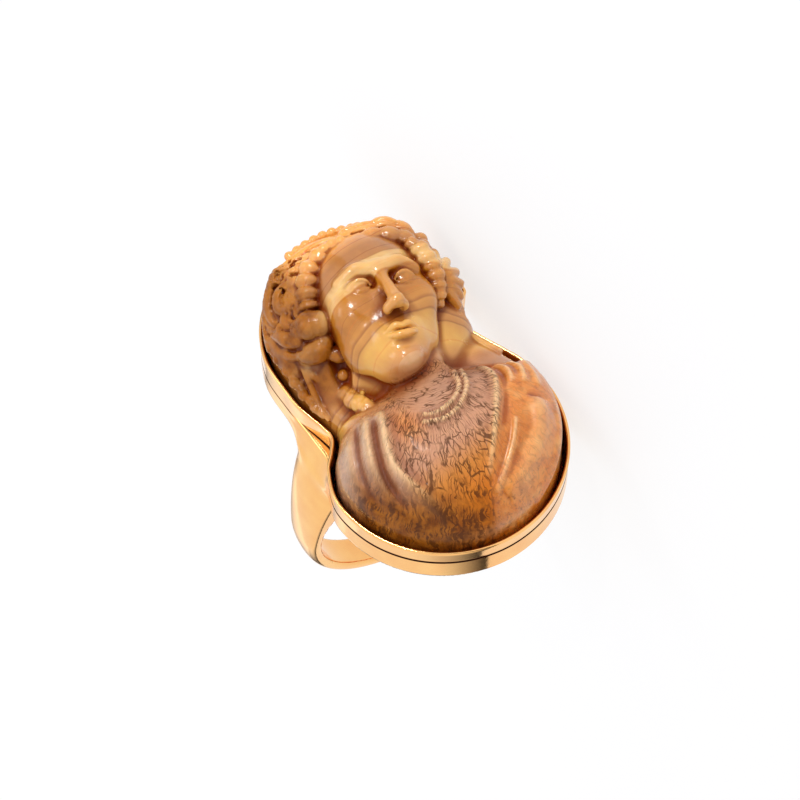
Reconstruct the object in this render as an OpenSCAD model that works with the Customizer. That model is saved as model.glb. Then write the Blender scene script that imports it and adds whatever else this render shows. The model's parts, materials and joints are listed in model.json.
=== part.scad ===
// Cameo ring: a high-relief carved stone bust in a closed-back gold setting,
// shaped like a figure of eight, on a plain domed shank.
// The ring is described upright: x across the cameo, y along the finger towards
// the head, z out of the face, with the middle of the finger hole at 0.
// It is then laid on its side, on the two lobes of the setting and the shank.

/* [Finger hole] */
// Inside diameter of the finger hole
finger_d = 17; // [16:0.1:18]

/* [Shank] */
// Width of the band opposite the setting
band_w = 2.4; // [2:0.1:3]
// Width of the band at the sides of the finger
side_w = 3.6; // [3.2:0.1:4.4]
// Width of the shoulders under the setting
shoulder_w = 5.9; // [5:0.1:6.6]
// Thickness of the band along its middle
band_t = 1.15; // [0.95:0.05:1.5]
// Thickness of the band along its edges
edge_t = 0.6; // [0.4:0.05:0.8]

/* [Setting] */
// Width of the setting across the bust
bust_w = 18.9; // [18:0.1:20]
// Width of the setting across the head
head_w = 16.45; // [15.6:0.1:17.4]
// Length of the setting
setting_l = 29.1; // [28:0.1:30.5]
// Thickness of the closed back between the finger and the stone
back_t = 1.5; // [1.2:0.1:1.8]
// Depth of the setting inside
cup_depth = 3.3; // [2.8:0.1:3.8]
// Depth of the back under the rim, outside
cup_h = 4.75; // [4.4:0.05:4.8]
// Depth under the rim at which the wall turns in to the back
wall_h = 4.15; // [3.6:0.05:4.3]
// Depth of the seam line under the rim
seam_h = 2.15; // [1.7:0.05:2.6]
// Wall of the setting at the rim
rim_t = 0.3; // [0.25:0.05:0.5]
// Wall of the setting round the foot of the stone
wall_t = 0.5; // [0.4:0.05:0.7]
// Depth of the seam line cut round the outside
seam_t = 0.12; // [0.06:0.01:0.2]

/* [Cameo] */
// Height of the carving over the rim
relief_h = 9.4; // [8:0.1:10.5]
// Gap between the stone and the wall of the setting
stone_gap = 0.15; // [0.1:0.05:0.3]
// Gap between the stone and the closed back
seat_gap = 0.05; // [0.03:0.01:0.1]

/* [Detail] */
// Sections round the shank
shank_steps = 60; // [40:4:80]
// Rows of points along the carving
carve_rows = 104; // [60:2:110]
// Points in each row of the carving
carve_cols = 48; // [30:2:50]

/* [Hidden] */

gold = [0.86, 0.62, 0.36];
honey = [0.78, 0.55, 0.3];

finger_r = finger_d / 2;
bust_r = bust_w / 2;
head_r = head_w / 2;
floor_z = finger_r + back_t;         // inside of the closed back, under the stone
rim_z = floor_z + cup_depth;
seat_z = floor_z + seat_gap;

// The sizes at which the tables below are drawn
DRAWN_W = 18.9;
DRAWN_L = 29.1;
DRAWN_RELIEF = 9.4;
sx = bust_w / DRAWN_W;
sy = setting_l / DRAWN_L;
sz = relief_h / DRAWN_RELIEF;

// Outline of the rim: one arc round the bust, one round the head, and a few
// points at each side of the waist.
FOOT_SHARE = 0.504;                  // of the length, below the middle of the finger
HEAD_SHARE = 1 - FOOT_SHARE - 0.003; // and above it
bust_c = [0.1 * sx, bust_r - FOOT_SHARE * setting_l];
head_c = [0.2 * sx, HEAD_SHARE * setting_l - head_r];
BUST_ARC = [182, 378];               // degrees, anticlockwise
HEAD_ARC = [-3, 190];
// [x, y] up the right side, then down the left
RIGHT_WAIST = [[8.4, -0.6], [7.36, 1.45], [6.7, 3.05], [6.95, 4.0], [7.85, 4.95]];
LEFT_WAIST = [[-7.72, 2.9], [-7.1, 0.65], [-6.96, -0.5], [-7.6, -1.53], [-8.62, -2.9]];

function arc(c, r, ends, n) =
    [for (i = [0:n]) let(a = ends[0] + (ends[1] - ends[0]) * i / n) c + r * [cos(a), sin(a)]];
function stretched(points) = [for (p = points) [p.x * sx, p.y * sy]];

arc_steps = 9;
knot_steps = 3;                      // points from one knot of the outline to the next
knots = concat(arc(bust_c, bust_r, BUST_ARC, arc_steps), stretched(RIGHT_WAIST),
               arc(head_c, head_r, HEAD_ARC, arc_steps), stretched(LEFT_WAIST));

// Smooth closed curve through the knots
function bend(a, b, c, d, t) =
    0.5 * (2 * b + (c - a) * t + (2 * a - 5 * b + 4 * c - d) * t * t
           + (3 * b - a - 3 * c + d) * t * t * t);
function curve(p, n) = let(m = len(p))
    [for (i = [0:m - 1], k = [0:n - 1])
        bend(p[(i + m - 1) % m], p[i], p[(i + 1) % m], p[(i + 2) % m], k / n)];
rim = curve(knots, knot_steps);
rim_n = len(rim);
rim_out = [for (i = [0:rim_n - 1])
    let(d = rim[(i + 1) % rim_n] - rim[(i + rim_n - 1) % rim_n]) [d.y, -d.x] / norm(d)];

// The rim's outline moved in by a distance
function inset(by) = [for (i = [0:rim_n - 1]) rim[i] - rim_out[i] * by];

// Skin over rings that run anticlockwise, from the lowest up
foot_i = 12;                         // index of the outline's lowest point, and
half_n = rim_n / 2;                  // half way round from it is the highest
function cap_faces(at) = [for (k = [0:half_n - 1]) let(
    a = at + (foot_i + k) % rim_n, b = at + (foot_i + k + 1) % rim_n,
    c = at + (foot_i - k - 1 + rim_n) % rim_n, d = at + (foot_i - k + rim_n) % rim_n)
    each concat(k < half_n - 1 ? [[a, b, c]] : [], k > 0 ? [[a, c, d]] : [])];
function flipped(faces) = [for (f = faces) [f[0], f[2], f[1]]];
function skin_faces(rows) = concat(
    cap_faces(0),
    [for (r = [0:rows - 2], i = [0:rim_n - 1]) let(
        a = r * rim_n + i, b = r * rim_n + (i + 1) % rim_n)
        each [[a, a + rim_n, b], [b, a + rim_n, b + rim_n]]],
    flipped(cap_faces((rows - 1) * rim_n)));

// Cup of the setting, from the middle of its back up to the rim and down inside.
// The back curves in under the wall and the seam is a fine groove. Towards the
// foot of the bust the back rises, and the seam rises all the way from the head.
SLOPE = 0.052;                       // rise of the back and the seam for each mm
back_curve = 2.2;                    // how far the back curves in
back_steps = 3;
back_bend = 4;                       // how softly the back starts to rise
lean = 0.1;                          // how far the wall leans in down to the back
rim_round = 0.13;                    // rounding of the rim's outer edge
groove = [0.12, 0.05];               // half the width of the seam line, outside and deep in it
function rise(y) = SLOPE * (sqrt(y * y + back_bend) - y) / 2;
// Rows of the skin: [inset, height]
back_rows = [for (k = [0:back_steps]) let(a = 90 * k / back_steps)
    [lean + back_curve * (1 - sin(a)), rim_z - wall_h - (cup_h - wall_h) * cos(a)]];
seam_rows = [[lean, -groove[0]], [lean + seam_t, -groove[1]],
             [lean + seam_t, groove[1]], [lean, groove[0]]];
wall_rows = [[0, rim_z - rim_round], [rim_round, rim_z], [rim_t, rim_z], [wall_t, floor_z]];

module cup() {
    seam_z = rim_z - seam_h;
    rows = concat(
        [for (r = back_rows) [for (p = inset(r[0])) [p.x, p.y, r[1] + rise(p.y)]]],
        [for (r = seam_rows) [for (p = inset(r[0])) [p.x, p.y, seam_z + r[1] - SLOPE * p.y]]],
        [for (r = wall_rows) [for (p = inset(r[0])) [p.x, p.y, r[1]]]]);
    polyhedron([for (r = rows) each r], skin_faces(len(rows)), convexity = 6);
}

// Shank: a domed band whose width and outer radius grow towards the shoulders.
// Angles are from the bottom of the ring, a = 180 under the setting.
inside_cut = 0.5;                    // the band starts inside the hole, which is then cut
arch = 0.0011;                       // growth of the outer radius over the sides
under_floor = 0.15;                  // the shoulders stay this far under the stone's floor
full_a = 140;                        // angle at which the shoulders reach their full width
taper = 2.4;                         // how late the band widens from its narrowest part
function widened(a) = band_w + (side_w - band_w) * pow(a / 90, taper);
function band_width(a) = a >= full_a ? shoulder_w
    : widened(a) + (a < 90 ? 0 : (shoulder_w - widened(full_a)) * pow((a - 90) / (full_a - 90), 2));
function band_radius(a) = let(
    r = finger_r + band_t + (a > 90 ? arch * pow(a - 90, 2) : 0))
    a > 95 ? min(r, (floor_z - under_floor) / -cos(a)) : r;
function band_edge(a) = band_radius(a)
    - (band_t - edge_t) * (1 + max(0, min(a, full_a) - 90) / (full_a - 90));
DOME = [0, 25, 50, 90, 130, 155, 180];
function band_section(turn) = let(
    a = turn < 180 ? turn : 360 - turn,
    w = band_width(a) / 2, edge = band_edge(a), crown = band_radius(a),
    flat = concat([[-w, finger_r - inside_cut], [w, finger_r - inside_cut]],
                  [for (k = DOME) [w * cos(k), edge + (crown - edge) * sin(k)]]))
    [for (p = flat) [p[1] * sin(turn), p[0], -p[1] * cos(turn)]];

module band() {
    n = len(DOME) + 2;
    points = [for (i = [0:shank_steps - 1]) each band_section(360 * i / shank_steps)];
    faces = [for (i = [0:shank_steps - 1], k = [0:n - 1]) let(
        j = (i + 1) % shank_steps, l = (k + 1) % n,
        a = i * n + k, b = i * n + l, c = j * n + l, d = j * n + k)
        each [[a, b, d], [b, c, d]]];
    polyhedron(points, faces, convexity = 6);
}

// Carving: the height of the stone over the rim at any point. Forms are rounded
// mounds, and the highest one shows. Lengths are those of the drawn size.
// Masses and main locks of the hair, and the neck: [x, y, z, radius x, radius y, rise, turn]
HAIR = [
    [0.6, 5.4, 0.0, 7.2, 7.6, 5.3, -10], [0.2, 12.3, 1.6, 3.4, 1.3, 2.4, 4],
    [-2.6, 10.6, 3.4, 2.5, 1.6, 2.4, 35], [-3.7, 11.5, 2.0, 1.8, 1.5, 2.7, 20],
    [-2.8, 9.0, 4.8, 0.8, 2.2, 1.4, -40], [-4.4, 8.0, 3.2, 1.6, 2.5, 2.5, -8],
    [-4.6, 6.3, 4.4, 1.2, 0.9, 1.4, -25], [-5.0, 4.9, 3.8, 1.2, 1.0, 1.5, 0],
    [-4.9, 11.0, 1.4, 1.7, 2.1, 2.5, -38], [-6.3, 7.4, 0.9, 1.2, 2.9, 2.4, -6],
    [-6.7, 3.0, 0.4, 0.9, 2.0, 1.5, 8], [-4.0, 0.6, 1.6, 0.9, 2.2, 1.3, 0],
    [1.4, 10.7, 4.4, 1.8, 0.9, 1.6, 5], [4.3, 10.0, 4.0, 1.4, 1.1, 1.8, -25],
    [3.4, 10.6, 2.8, 2.4, 1.6, 2.6, -18], [5.6, 8.0, 3.4, 1.0, 2.2, 2.1, 10],
    [5.3, 5.4, 3.2, 0.9, 2.6, 2.1, 8], [6.9, 6.4, 1.0, 1.2, 2.6, 1.9, 8]];
NECK = [[0.4, -1.8, 0.6, 2.6, 4.0, 4.8, -10], [0, -3.8, 0.4, 4.4, 3.0, 4.9, -6]];
// The face: one mound in the head's own axes, with swells on it
HEAD_AT = [0.95, 4.6];
HEAD_TURN = -12;
SKULL = [0, 0, 0.8, 4.7, 6.5, 7.2, 0];
// Swells and hollows of one half of the face: [x, y, radius x, radius y, rise]
FACE = [
    [1.9, 2.15, 1.25, 0.45, 0.25], [1.72, 1.15, 1.0, 0.7, -0.8], [1.75, 1.05, 0.6, 0.45, 0.5],
    [0.25, 1.2, 0.5, 0.9, 0.2], [0.25, 0, 0.5, 1.0, 0.4], [0.25, -1.1, 0.55, 0.75, 0.7],
    [0.6, -1.7, 0.35, 0.36, 0.5], [0.4, -3.2, 1.4, 0.9, 0.22], [0.4, -3.1, 0.8, 0.26, 0.16],
    [0.4, -3.8, 0.6, 0.28, 0.18], [0.5, -3.45, 0.8, 0.14, -0.2], [0.3, -5.3, 1.1, 0.75, 0.34],
    [2.55, -0.9, 1.35, 1.35, 0.34]];
// Folds of the dress: [x, y of one end, x, y of the other, half width, rise]
FOLDS = [
    [-6.9, -2.6, -3.2, -9.6, 0.55, 0.45], [-5.4, -2.2, -1.9, -9.0, 0.5, 0.4],
    [-3.9, -2.8, -0.9, -8.2, 0.45, 0.35], [5.0, -3.6, 1.9, -9.2, 0.5, 0.4],
    [6.9, -3.6, 3.6, -10.2, 0.6, 0.5], [8.3, -4.9, 5.4, -10.9, 0.55, 0.4],
    [-2.6, -9.9, 3.2, -9.6, 0.6, 0.3]];
fold_fade = 0.5;                     // how much lower a fold ends than it starts
edge_drop = 0.45;                    // the stone's edge lies this far under the rim
BASE = [2.6, 2.2];                   // how far in the stone's edge rounds, and its rise
BUST = [6.3, 6.1];
BUST_BACK = 0.9;                     // the bust is this much less steep at its shoulders
ROOM = [[3.0, 7.0], [4, 9], [6.3, 9]]; // reach and rise that hair, neck and bust keep to
// Line across the shoulders, where the bust rises: [x, y]
SHOULDERS = [[-9.4, -3.4], [-7.8, -1.5], [-6.5, -0.6], [-5.2, -0.15], [-3.0, 0.1], [0.0, 0.2],
             [2.6, -0.4], [4.4, -1.3], [6.4, -2.3], [8.2, -2.9], [9.6, -3.9]];

function rounded(d, reach, top) = let(t = max(0, min(1, d / reach)))
    top * sqrt(1 - (1 - t) * (1 - t));
function turned(p, c, a) = let(d = p - c)
    [d.x * cos(a) + d.y * sin(a), d.y * cos(a) - d.x * sin(a)];
function mound(p, f) = let(
    q = turned(p, [f[0], f[1]], f[6]), s = pow(q.x / f[3], 2) + pow(q.y / f[4], 2))
    s < 1 ? f[2] + f[5] * sqrt(1 - s) : f[2] - 2 * f[5] * (sqrt(s) - 1);
function swell(p, f) = let(s = pow((p.x - f[0]) / f[2], 2) + pow((p.y - f[1]) / f[3], 2))
    s < 6 ? f[4] * exp(-s) : 0;
function face(q) = mound(q, SKULL)
    + (norm(q) < 9 ? sum([for (f = FACE) swell(q, f) + swell([-q.x, q.y], f)]) : 0);
function fold(p, f) = let(
    a = [f[0], f[1]], b = [f[2], f[3]], ab = b - a,
    t = max(0, min(1, ((p - a) * ab) / (ab * ab))),
    s = norm(p - a - ab * t) / f[4])
    s < 2.4 ? f[5] * exp(-s * s) * (1 - fold_fade * t) : 0;
function sum(v) = len(v) == 0 ? 0 : v * [for (i = v) 1];

// p is in drawn sizes, and d is its distance from the stone's edge
function highest(p, table) = max([for (f = table) mound(p, f)]);
function bust(p, d) = let(under = lookup(p.x, SHOULDERS) - p.y)
    rounded(min(d, under * BUST_BACK), BUST[0], BUST[1])
    + (under > 0 ? sum([for (f = FOLDS) fold(p, f)]) : 0);
function carving(p, d) = let(room = [for (r = ROOM) rounded(d, r[0], r[1])])
    max(rounded(d, BASE[0], BASE[1]), min(highest(p, HAIR), room[0]), min(highest(p, NECK), room[1]),
        min(bust(p, d), room[2]), face(turned(p, HEAD_AT, HEAD_TURN)));

// The stone: rows of points across it, from the foot to the top
side_in = wall_t + stone_gap;
edge = inset(side_in);
right_side = [for (k = [0:half_n]) let(p = edge[(foot_i + k) % rim_n]) [p.y, p.x]];
left_side = [for (k = [0:half_n]) let(p = edge[(foot_i - k + rim_n) % rim_n]) [p.y, p.x]];
foot_y = edge[foot_i].y;
top_y = edge[foot_i + half_n].y;
end_gap = 0.05;                      // the first and last rows lie just inside the ends
crowding = 0.25;                     // how much closer the steps are towards the ends
// Goes from -1 to 1
function spread(t) = (1 - crowding) * (2 * t - 1) - crowding * cos(180 * t);
row_y = [for (j = [0:carve_rows - 1])
    (foot_y + top_y) / 2 + ((top_y - foot_y) / 2 - end_gap) * spread(j / (carve_rows - 1))];

function edge_gap(x, y, xl, xr) =
    y < bust_c.y ? bust_r - side_in - norm([x, y] - bust_c)
    : y > head_c.y ? head_r - side_in - norm([x, y] - head_c) : min(x - xl, xr - x);
function carved_point(x, y, xl, xr) =
    [x, y, rim_z - edge_drop + sz * carving([x / sx, y / sy], max(0, edge_gap(x, y, xl, xr)))];
function carved_row(y) = let(xl = lookup(y, left_side), xr = lookup(y, right_side))
    [for (k = [0:carve_cols - 1])
        carved_point((xl + xr) / 2 + (xr - xl) / 2 * spread(k / (carve_cols - 1)), y, xl, xr)];

module stone() {
    top = [for (y = row_y) each carved_row(y)];
    last = (carve_rows - 1) * carve_cols;
    east = carve_cols - 1;
    // The base repeats the grid's first row, the two ends of each row between
    // and the last row, down on the seat.
    ends = [for (j = [1:carve_rows - 2]) each [j * carve_cols, j * carve_cols + east]];
    under = concat([for (k = [0:east]) k], ends, [for (k = [0:east]) last + k]);
    t = len(top);
    n = len(under);
    function below(j, right) = t + (
        j == 0 ? (right ? east : 0)
        : j == carve_rows - 1 ? n - 1 - (right ? 0 : east)
        : carve_cols + 2 * (j - 1) + (right ? 1 : 0));
    function above(j, right) = j * carve_cols + (right ? east : 0);
    faces = concat(
        [for (j = [0:carve_rows - 2], k = [0:east - 1]) let(a = j * carve_cols + k) each
            [[a, a + carve_cols, a + 1], [a + 1, a + carve_cols, a + carve_cols + 1]]],
        [for (k = [0:east - 1]) each [[k, k + 1, t + k], [k + 1, t + k + 1, t + k]]],
        [for (k = [0:east - 1]) let(a = last + k, b = t + n - carve_cols + k) each
            [[a, b, a + 1], [a + 1, b, b + 1]]],
        [for (j = [0:carve_rows - 2]) each
            [[above(j, true), above(j + 1, true), below(j, true)],
             [above(j + 1, true), below(j + 1, true), below(j, true)],
             [above(j, false), below(j, false), above(j + 1, false)],
             [above(j + 1, false), below(j, false), below(j + 1, false)]]],
        [for (k = [0:east - 1]) [below(1, false), t + k, t + k + 1]],
        [[below(1, false), below(0, true), below(1, true)]],
        [for (j = [1:carve_rows - 3]) each
            [[below(j, false), below(j, true), below(j + 1, false)],
             [below(j, true), below(j + 1, true), below(j + 1, false)]]],
        [[below(carve_rows - 2, false), below(carve_rows - 2, true), t + n - carve_cols]],
        [for (k = [0:east - 1]) let(b = t + n - carve_cols + k)
            [below(carve_rows - 2, true), b + 1, b]]);
    polyhedron(concat(top, [for (i = under) [top[i].x, top[i].y, seat_z]]), faces, convexity = 8);
}

// How the ring lies: turned about its face until both lobes touch, then about
// the finger until the shank touches too.
lobe_turn = atan2((bust_c.x + bust_r) - (head_c.x + head_r), head_c.y - bust_c.y);
lobe_x = (bust_c.x + bust_r) * cos(lobe_turn) + bust_c.y * sin(lobe_turn);
shank_x = (finger_r + band_t) * cos(lobe_turn) + side_w / 4 * sin(lobe_turn);
shank_turn = atan2(shank_x - lobe_x, rim_z);

module on_its_side() {
    rotate([0, 90 + shank_turn, 0]) rotate([0, 0, -lobe_turn]) children();
}

module setting() {
    color(gold) on_its_side() difference() {
        union() {
            cup();
            band();
        }
        rotate([90, 0, 0]) cylinder(r = finger_r, h = 2 * shoulder_w, center = true, $fn = 120);
    }
}

module cameo() {
    color(honey) on_its_side() stone();
}

setting();
cameo();
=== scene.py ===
import json
import math

import bmesh
import bpy
import numpy as np
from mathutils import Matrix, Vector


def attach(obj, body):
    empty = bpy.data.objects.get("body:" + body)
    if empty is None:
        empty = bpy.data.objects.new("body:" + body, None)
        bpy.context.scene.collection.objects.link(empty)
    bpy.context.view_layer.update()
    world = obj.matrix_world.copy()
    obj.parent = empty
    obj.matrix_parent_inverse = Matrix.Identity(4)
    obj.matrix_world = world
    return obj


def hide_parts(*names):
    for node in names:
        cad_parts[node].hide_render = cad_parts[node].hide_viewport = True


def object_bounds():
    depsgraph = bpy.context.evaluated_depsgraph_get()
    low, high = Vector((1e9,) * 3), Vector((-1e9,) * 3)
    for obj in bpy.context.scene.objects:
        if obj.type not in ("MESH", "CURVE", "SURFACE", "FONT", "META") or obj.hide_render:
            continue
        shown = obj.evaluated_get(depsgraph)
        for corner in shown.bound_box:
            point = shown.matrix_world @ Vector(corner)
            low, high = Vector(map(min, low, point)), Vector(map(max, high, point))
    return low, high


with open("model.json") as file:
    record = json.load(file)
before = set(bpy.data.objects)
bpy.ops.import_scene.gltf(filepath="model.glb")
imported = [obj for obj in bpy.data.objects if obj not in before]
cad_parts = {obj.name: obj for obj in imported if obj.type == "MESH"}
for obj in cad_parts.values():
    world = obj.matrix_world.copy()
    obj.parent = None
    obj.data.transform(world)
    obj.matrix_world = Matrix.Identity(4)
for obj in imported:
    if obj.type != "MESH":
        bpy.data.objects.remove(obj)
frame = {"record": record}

import openvdb
from mathutils import Euler, Matrix, Vector

cad_box = [list(corner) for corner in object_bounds()]
MM = 0.001

# The ring is described upright, in millimetres: x across the cameo, y along the
# finger towards the head, z out of the face, with the middle of the finger hole
# at 0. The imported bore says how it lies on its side.
bore = next(m for m in frame["record"]["mounts"] if m["name"] == "finger_bore")
ALONG = Vector(bore["axis"]).normalized()
OUT = Vector((-ALONG.z, 0, ALONG.x)).normalized()
ACROSS = ALONG.cross(OUT)
UPRIGHT = Matrix((ACROSS, ALONG, OUT)).transposed()

FINGER_R = 8.5
BAND_W = 2.4            # shank opposite the setting
SIDE_W = 3.6            # shank at the sides of the finger
SHOULDER_W = 5.9
BAND_T = 1.15
EDGE_T = 0.6
BUST_R = 9.45           # outline of the setting across the bust
HEAD_R = 8.225          # and across the head
SETTING_L = 29.1
FLOOR_Z = 10.0          # inside of the closed back, under the stone
RIM_Z = 13.3
RIM_T = 0.3             # wall at the rim, and at the floor
WALL_T = 0.5
SEAM_DROP = 2.15        # how far under the rim the seam is
TURN_DROP = 4.15        # and the place where the wall turns under
BACK_DROP = 4.75        # and the back
SLOPE = 0.052           # rise of the seam, and of the back under the bust
SEAM_T = 0.12
STONE_GAP = 0.15
SEAT_GAP = 0.05

BUST_C = (0.1, BUST_R - 0.504 * SETTING_L)
HEAD_C = (0.2, 0.493 * SETTING_L - HEAD_R)


def place(points):
    """Points of the upright ring, in mm, to where the ring lies, in metres."""
    return np.asarray(points, float) @ np.array(UPRIGHT).T * MM


# Outline of the setting, as in the part: an arc round the bust, one round the
# head and a few points at each side of the waist.
RIGHT_WAIST = [(8.4, -0.6), (7.36, 1.45), (6.7, 3.05), (6.95, 4.0), (7.85, 4.95)]
LEFT_WAIST = [(-7.72, 2.9), (-7.1, 0.65), (-6.96, -0.5), (-7.6, -1.53), (-8.62, -2.9)]


ARC_POINTS = 10


def arc(centre, radius, start, end):
    turns = np.radians(np.linspace(start, end, ARC_POINTS))
    return np.stack([centre[0] + radius * np.cos(turns), centre[1] + radius * np.sin(turns)], 1)


def smooth_curve(points, steps, closed=False):
    """Catmull-Rom curve through the points."""
    p = np.asarray(points, float)
    n = len(p)
    t = np.arange(steps)[:, None] / steps
    out = []
    for i in range(n if closed else n - 1):
        a, b, c, d = (p[j % n] if closed else p[min(max(j, 0), n - 1)] for j in range(i - 1, i + 3))
        out.append(0.5 * (2 * b + (c - a) * t + (2 * a - 5 * b + 4 * c - d) * t ** 2
                          + (3 * b - a - 3 * c + d) * t ** 3))
    if not closed:
        out.append(p[-1:])
    return np.concatenate(out)


KNOTS = np.concatenate([arc(BUST_C, BUST_R, 182, 378), RIGHT_WAIST,
                        arc(HEAD_C, HEAD_R, -3, 190), LEFT_WAIST])
RIM = smooth_curve(KNOTS, 12, closed=True)
RIM_OUT = np.roll(RIM, -1, 0) - np.roll(RIM, 1, 0)
RIM_OUT = np.stack([RIM_OUT[:, 1], -RIM_OUT[:, 0]], 1)
RIM_OUT /= np.linalg.norm(RIM_OUT, axis=1)[:, None]


def inset(by, z, tilt=0.0):
    """The outline moved in by a distance, at a height that may fall towards the head."""
    ring = RIM - RIM_OUT * by
    return np.column_stack([ring, z - tilt * ring[:, 1]])


def shown(name, data):
    obj = bpy.data.objects.new(name, data)
    bpy.context.scene.collection.objects.link(obj)
    return obj


def add_mesh(name, points, faces):
    mesh = bpy.data.meshes.new(name)
    mesh.from_pydata([tuple(p) for p in points], [], [tuple(f) for f in faces])
    mesh.validate()
    mesh.update()
    for polygon in mesh.polygons:
        polygon.use_smooth = True
    return shown(name, mesh)


def store(data, name, kind, values):
    """Stores values on the points of a mesh."""
    field = {"FLOAT": "value", "FLOAT_VECTOR": "vector", "FLOAT_COLOR": "color"}[kind]
    record = data.attributes.new(name, kind, "POINT")
    record.data.foreach_set(field, np.asarray(values, np.float32).ravel())


# The carving is sculpted as clay: a grid of distances to the surface, to which
# forms are added and from which they are cut. z is the height over the rim.
FAR = 4.0               # what an empty grid holds
METAL_STEP = 0.16       # width of the grid's cells
STEP = 0.12
STONE_INSET = WALL_T + STONE_GAP
FOOT = -0.8             # the grid ends here, inside the setting
OVERHANG = 0.4          # how far the carving may lean over the rim
LOCK_STEPS = 5          # straight pieces between two points of a lock


def smooth_min(a, b, k):
    """The smaller of two distances, with a soft change over between them."""
    h = np.maximum(k - np.abs(a - b), 0) / k
    return np.minimum(a, b) - h * h * k / 4


class Clay:
    def __init__(self, low, high, step):
        self.low = np.array(low, float)
        self.step = step
        sizes = np.ceil((np.array(high) - self.low) / step).astype(int) + 1
        self.axes = [self.low[i] + step * np.arange(sizes[i]) for i in range(3)]
        self.dist = np.full(sizes, FAR, np.float32)

    def top(self, x, y):
        """Height of the surface at a place."""
        i, j = (int(round((v - self.low[k]) / self.step)) for k, v in enumerate((x, y)))
        return self.axes[2][np.nonzero(self.dist[i, j] < 0)[0].max()]

    def near(self, low, high, pad):
        """The part of the grid round a box, and the places along its axes."""
        cut = []
        for i in range(3):
            first = int((low[i] - pad - self.low[i]) / self.step)
            last = int((high[i] + pad - self.low[i]) / self.step) + 2
            cut.append(slice(max(0, first), max(1, last)))
        shapes = ((-1, 1, 1), (1, -1, 1), (1, 1, -1))
        return tuple(cut), [a[c].reshape(s) for a, c, s in zip(self.axes, cut, shapes)]

    def add(self, form, blend=0.3):
        low, high, field = form
        cut, (x, y, z) = self.near(low, high, blend + 0.5)
        self.dist[cut] = smooth_min(self.dist[cut], field(x, y, z), blend)

    def cut(self, form, blend=0.15):
        low, high, field = form
        cut, (x, y, z) = self.near(low, high, blend + 0.5)
        self.dist[cut] = -smooth_min(-self.dist[cut], field(x, y, z), blend)


def axes_at(origin, turn=(0, 0, 0), size=1.0):
    rotation = Euler([math.radians(a) for a in turn], "ZYX").to_matrix().to_4x4()
    return Matrix.Translation(origin) @ rotation, size


HERE = axes_at((0, 0, 0))


def round_gap(parts, least):
    """Distance to a round form. parts: how far out along each of its axes, and its radius there."""
    k0 = np.sqrt(sum((q / r) ** 2 for q, r in parts))
    k1 = np.sqrt(sum((q / r ** 2) ** 2 for q, r in parts))
    return k0 * (k0 - 1) / np.maximum(k1, least)


def ball(centre, radii, turn=(0, 0, 0), at=HERE, strands=None):
    """An ellipsoid. strands: (axis across them, pitch, depth)."""
    matrix, size = at
    if np.isscalar(radii):
        radii = (radii,) * 3
    m = matrix @ axes_at([c * size for c in centre], turn)[0]
    axes = np.array(m.to_3x3())
    mid = np.array(m.translation)
    r = np.array(radii) * size
    reach = np.sqrt(((axes * r) ** 2).sum(1))

    def field(x, y, z):
        q = [(x - mid[0]) * axes[0, i] + (y - mid[1]) * axes[1, i] + (z - mid[2]) * axes[2, i]
             for i in range(3)]
        d = round_gap(list(zip(q, r)), 1e-6)
        if strands:
            axis, pitch, depth = strands
            bow = 0.25 * np.sin(q[(axis + 1) % 3] * 1.7 / r[(axis + 1) % 3])
            d = d + depth * np.cos((q[axis] + bow) * 2 * math.pi / pitch)
        return d
    return mid - reach, mid + reach, field


def tube(points, radii, at=HERE, ribs=0, depth=0.0):
    """A round lock along a curve. ribs: how many lumps it has, depth: of the grooves between them."""
    matrix, size = at
    curve = smooth_curve([matrix @ (Vector(p) * size) for p in points], LOCK_STEPS)
    radii = np.broadcast_to(np.asarray(radii, float) * size, (len(points),))
    width = smooth_curve(radii[:, None], LOCK_STEPS)[:, 0]
    last = len(curve) - 1
    reach = width.max()

    def field(x, y, z):
        best = None
        for i in range(last):
            a, ab = curve[i], curve[i + 1] - curve[i]
            t = ((x - a[0]) * ab[0] + (y - a[1]) * ab[1] + (z - a[2]) * ab[2]) / max(ab @ ab, 1e-9)
            t = np.clip(t, 0, 1)
            gap = np.sqrt((x - a[0] - ab[0] * t) ** 2 + (y - a[1] - ab[1] * t) ** 2
                          + (z - a[2] - ab[2] * t) ** 2)
            gap = gap - width[i] - (width[i + 1] - width[i]) * t
            if ribs:
                along = i + t if best is None else np.where(gap < best, i + t, along)
            best = gap if best is None else np.minimum(best, gap)
        if ribs:
            best = best + depth * reach * (1 - np.abs(np.sin(math.pi * ribs * along / last)))
        return best
    return curve.min(0) - reach, curve.max(0) + reach, field


def outline_gap(x, y, by):
    """Distance in the plane from the outline moved in by a distance; it is above 0 inside."""
    a = RIM - RIM_OUT * by
    ab = np.roll(a, -1, 0) - a
    best = np.full(np.broadcast(x, y).shape, 1e9)
    inside = np.zeros(best.shape, bool)
    for p, q in zip(a, ab):
        t = np.clip(((x - p[0]) * q[0] + (y - p[1]) * q[1]) / (q @ q), 0, 1)
        best = np.minimum(best, (x - p[0] - q[0] * t) ** 2 + (y - p[1] - q[1] * t) ** 2)
        crosses = (p[1] > y) != (p[1] + q[1] > y)
        if q[1]:
            inside ^= crosses & (x < p[0] + q[0] * (y - p[1]) / q[1])
    return np.sqrt(best) * np.where(inside, 1, -1)


def rounded(d, reach, rise):
    t = np.clip(d / reach, 0, 1)
    return rise * np.sqrt(1 - (1 - t) ** 2)


EDGE_DROP = 0.45        # of the stone's edge under the rim
EDGE_CURVE = (2.6, 2.2)  # how far in from its edge the stone rises, and by how much
DOME_CURVE = (6.3, 6.1)  # the same for the dome of the bust
RIGHT_SWELL = 0.5       # the bust's right side rises steeply from the rim
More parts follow.
